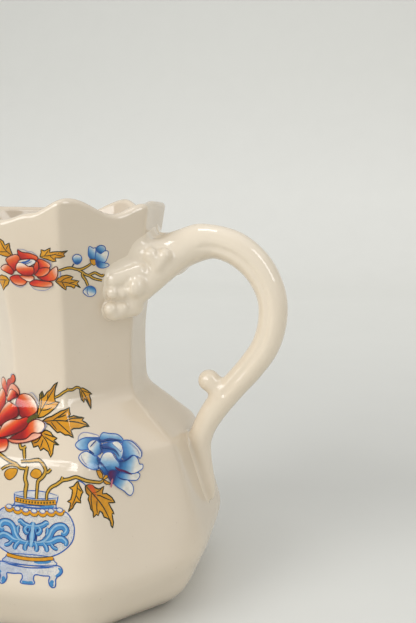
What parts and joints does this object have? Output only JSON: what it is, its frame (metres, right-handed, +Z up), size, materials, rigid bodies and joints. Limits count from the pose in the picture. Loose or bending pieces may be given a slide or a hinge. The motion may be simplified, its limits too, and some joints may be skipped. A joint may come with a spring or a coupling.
{
  "type": "cream jug",
  "caption": "Octagonal glazed porcelain cream jug with rounded belly, narrow neck, waved rim, pouring lip, forked looped handle with masks, and printed flower sprays.",
  "frame": {"origin": "centre of the foot ring, in the plane the jug stands on", "axes": "+Z up, +X towards the handle, -X towards the pouring lip, -Y out of the main decorated panel"},
  "size_m": [0.1137, 0.093, 0.1204],
  "materials": {
    "body": "glossy warm cream glaze",
    "handle": "glossy warm cream glaze",
    "front_red_print": "vermilion print under a glossy glaze",
    "front_blue_print": "blue print under a glossy glaze",
    "front_gold_print": "ochre print under a glossy glaze",
    "back_red_print": "vermilion print under a glossy glaze",
    "back_blue_print": "blue print under a glossy glaze",
    "back_gold_print": "ochre print under a glossy glaze"
  },
  "bodies": {
    "root": {"body": "body", "handle": "handle", "front_red_print": "front_red_print", "front_blue_print": "front_blue_print", "front_gold_print": "front_gold_print", "back_red_print": "back_red_print", "back_blue_print": "back_blue_print", "back_gold_print": "back_gold_print"}
  },
  "joints": []
}
